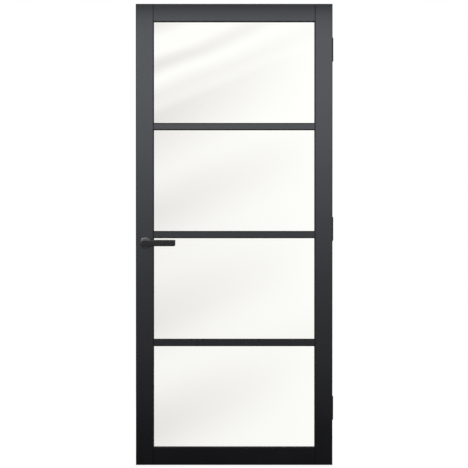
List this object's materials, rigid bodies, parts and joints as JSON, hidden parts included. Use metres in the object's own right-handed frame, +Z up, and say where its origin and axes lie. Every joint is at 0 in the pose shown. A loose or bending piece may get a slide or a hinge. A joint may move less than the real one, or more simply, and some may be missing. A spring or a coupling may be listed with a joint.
{
  "type": "glazed interior door leaf",
  "caption": "Black interior door leaf with clear glass panes between thin bars, lever handles on round roses, a mortise latch lock and butt hinges, knuckles on the back.",
  "frame": {"origin": "centre of the leaf's bottom edge", "axes": "+Z up along the stiles, +Y through the thickness to the hinge-knuckle side, +X along the width to the hinges"},
  "size_m": [0.875, 0.15, 2.04],
  "materials": {
    "painted_frame": "satin black lacquer on wood",
    "painted_rails": "satin black lacquer on wood",
    "painted_beads": "satin black lacquer on wood",
    "glass": "clear, polished",
    "seal_rubber": "matt black",
    "dowel_wood": "bare beech",
    "lever_black": "matt black powder coat",
    "rose_black": "satin black powder coat",
    "plate_black": "matt black powder coat",
    "screw_black": "black finish",
    "nylon": "moulded, matt",
    "bolt_black": "moulded, satin",
    "bright_steel": "ground",
    "zinc_steel": "zinc plated"
  },
  "bodies": {
    "frame_hinges": {"hinge_top_frame_plate": "plate_black", "hinge_top_pin": "plate_black", "hinge_middle_frame_plate": "plate_black", "hinge_middle_pin": "plate_black", "hinge_bottom_frame_plate": "plate_black", "hinge_bottom_pin": "plate_black"},
    "handle": {"lever_front": "lever_black", "lever_rear": "lever_black", "spindle": "bright_steel", "grub_screws": "zinc_steel", "follower": "bright_steel"},
    "drawbar": {"drawbar": "bright_steel"},
    "latch": {"latch_bolt": "bolt_black", "latch_magnet": "bright_steel"},
    "leaf": {"bottom_rail": "painted_rails", "case_cover": "zinc_steel", "dowels": "dowel_wood", "edge_screws": "screw_black", "faceplate": "plate_black", "follower_spring": "zinc_steel", "glazing_bar_1": "painted_rails", "glazing_bar_2": "painted_rails", "glazing_bar_3": "painted_rails", "hinge_bottom_leaf_plate": "plate_black", "hinge_middle_leaf_plate": "plate_black", "hinge_stile": "painted_frame", "hinge_top_leaf_plate": "plate_black", "lever_bushes": "nylon", "lock_case": "zinc_steel", "lock_stile": "painted_frame", "pane_1_bead_bottom": "painted_beads", "pane_1_bead_left": "painted_beads", "pane_1_bead_right": "painted_beads", "pane_1_bead_top": "painted_beads", "pane_1_glass": "glass", "pane_1_seal": "seal_rubber", "pane_2_bead_bottom": "painted_beads", "pane_2_bead_left": "painted_beads", "pane_2_bead_right": "painted_beads", "pane_2_bead_top": "painted_beads", "pane_2_glass": "glass", "pane_2_seal": "seal_rubber", "pane_3_bead_bottom": "painted_beads", "pane_3_bead_left": "painted_beads", "pane_3_bead_right": "painted_beads", "pane_3_bead_top": "painted_beads", "pane_3_glass": "glass", "pane_3_seal": "seal_rubber", "pane_4_bead_bottom": "painted_beads", "pane_4_bead_left": "painted_beads", "pane_4_bead_right": "painted_beads", "pane_4_bead_top": "painted_beads", "pane_4_glass": "glass", "pane_4_seal": "seal_rubber", "rose_base_front": "nylon", "rose_base_rear": "nylon", "rose_front": "rose_black", "rose_rear": "rose_black", "rose_screws": "zinc_steel", "top_rail": "painted_rails"}
  },
  "joints": [
    {"name": "leaf_swing", "type": "hinge", "parent": "frame_hinges", "child": "leaf", "pos_m": [0.4355, 0.025, 1.045], "axis": [0, 0, -1], "range_deg": [0, 170]},
    {"name": "handle_turn", "type": "hinge", "parent": "leaf", "child": "handle", "pos_m": [-0.392, 0, 0.9825], "axis": [0, 1, 0], "range_deg": [0, 40], "stiffness_Nm_per_rad": 0.6, "springref_deg": -51.57, "deforming": ["follower_spring"]},
    {"name": "drawbar_slide", "type": "slide", "parent": "leaf", "child": "drawbar", "axis": [1, 0, 0], "range_m": [0, 0.01198]},
    {"name": "latch_slide", "type": "slide", "parent": "leaf", "child": "latch", "axis": [1, 0, 0], "range_m": [-0.012, 0]}
  ],
  "couplings": [
    {"joint": "drawbar_slide", "follows": "handle_turn", "m_per_rad": 0.01715}
  ]
}
